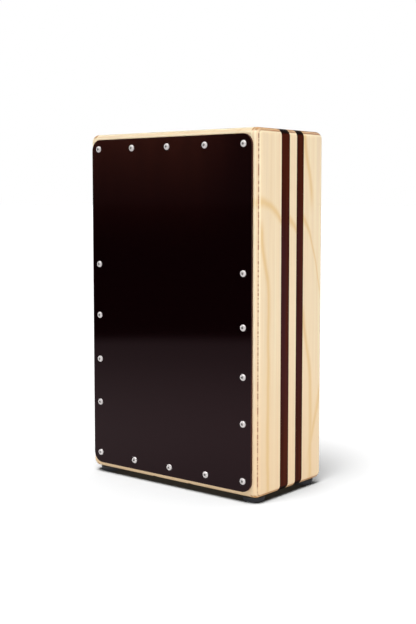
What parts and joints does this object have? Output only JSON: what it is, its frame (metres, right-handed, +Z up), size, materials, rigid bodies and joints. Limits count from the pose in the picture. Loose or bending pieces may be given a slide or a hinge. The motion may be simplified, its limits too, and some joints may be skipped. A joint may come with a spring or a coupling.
{
  "type": "travel cajon",
  "caption": "Slim plywood box drum with a screwed-on front plate, dark side stripes, a rear sound hole, rubber feet and string snares tuned from below.",
  "frame": {"origin": "on the ground, under the middle of the whole drum", "axes": "+Z up, the tapa (front plate) faces -Y, +X to the right as seen facing the tapa"},
  "size_m": [0.3, 0.1572, 0.487],
  "materials": {
    "tapa_lacquer": "very dark brown, high gloss lacquer",
    "birch_ply": "pale plywood under satin clear lacquer",
    "dark_inlay": "dark red-brown hardwood under satin clear lacquer",
    "spruce": "bare planed softwood",
    "beech": "bare planed hardwood",
    "zinc_steel": "zinc plated, satin",
    "plain_steel": "plain steel, satin",
    "string_steel": "wound guitar string",
    "brass": "satin",
    "rubber": "matt black"
  },
  "bodies": {
    "drum_box": {"adjuster_washer_left": "zinc_steel", "adjuster_washer_right": "zinc_steel", "back_panel": "birch_ply", "bar_screw_left": "zinc_steel", "bar_screw_right": "zinc_steel", "bottom_front_batten": "spruce", "bottom_panel": "birch_ply", "front_left_foot": "rubber", "front_left_foot_screw": "zinc_steel", "front_right_foot": "rubber", "front_right_foot_screw": "zinc_steel", "left_front_batten": "spruce", "left_front_stripe": "dark_inlay", "left_rear_stripe": "dark_inlay", "left_side_panel": "birch_ply", "plate_screw_left_inner": "zinc_steel", "plate_screw_left_outer": "zinc_steel", "plate_screw_right_inner": "zinc_steel", "plate_screw_right_outer": "zinc_steel", "rear_left_foot": "rubber", "rear_left_foot_screw": "zinc_steel", "rear_right_foot": "rubber", "rear_right_foot_screw": "zinc_steel", "right_front_batten": "spruce", "right_front_stripe": "dark_inlay", "right_rear_stripe": "dark_inlay", "right_side_panel": "birch_ply", "snare_string_left_inner": "string_steel", "snare_string_left_outer": "string_steel", "snare_string_right_inner": "string_steel", "snare_string_right_outer": "string_steel", "string_bar": "beech", "tapa": "tapa_lacquer", "tapa_screw_bottom_1": "zinc_steel", "tapa_screw_bottom_2": "zinc_steel", "tapa_screw_bottom_3": "zinc_steel", "tapa_screw_bottom_4": "zinc_steel", "tapa_screw_bottom_5": "zinc_steel", "tapa_screw_left_1": "zinc_steel", "tapa_screw_left_2": "zinc_steel", "tapa_screw_left_3": "zinc_steel", "tapa_screw_left_4": "zinc_steel", "tapa_screw_right_1": "zinc_steel", "tapa_screw_right_2": "zinc_steel", "tapa_screw_right_3": "zinc_steel", "tapa_screw_right_4": "zinc_steel", "tapa_screw_top_1": "zinc_steel", "tapa_screw_top_2": "zinc_steel", "tapa_screw_top_3": "zinc_steel", "tapa_screw_top_4": "zinc_steel", "tapa_screw_top_5": "zinc_steel", "tensioner_plate": "plain_steel", "top_front_batten": "spruce", "top_panel": "birch_ply"},
    "adjuster_left": {"string_adjuster_left": "plain_steel"},
    "adjuster_right": {"string_adjuster_right": "plain_steel"},
    "carriage_left": {"string_carriage_left": "brass"},
    "carriage_right": {"string_carriage_right": "brass"}
  },
  "joints": [
    {"name": "adjuster_left_turn", "type": "hinge", "parent": "drum_box", "child": "adjuster_left", "pos_m": [-0.032, -0.0644, 0.015], "axis": [0, 0, 1], "range_deg": [-1440, 720]},
    {"name": "carriage_left_slide", "type": "slide", "parent": "drum_box", "child": "carriage_left", "axis": [0, 0, -1], "range_m": [-0.0032, 0.0016], "deforming": ["snare_string_left_inner", "snare_string_left_outer"]},
    {"name": "adjuster_right_turn", "type": "hinge", "parent": "drum_box", "child": "adjuster_right", "pos_m": [0.032, -0.0644, 0.015], "axis": [0, 0, 1], "range_deg": [-1440, 720]},
    {"name": "carriage_right_slide", "type": "slide", "parent": "drum_box", "child": "carriage_right", "axis": [0, 0, -1], "range_m": [-0.0032, 0.0016], "deforming": ["snare_string_right_inner", "snare_string_right_outer"]}
  ],
  "couplings": [
    {"joint": "adjuster_left_turn", "follows": "carriage_left_slide", "rad_per_m": 7854},
    {"joint": "adjuster_right_turn", "follows": "carriage_right_slide", "rad_per_m": 7854}
  ]
}
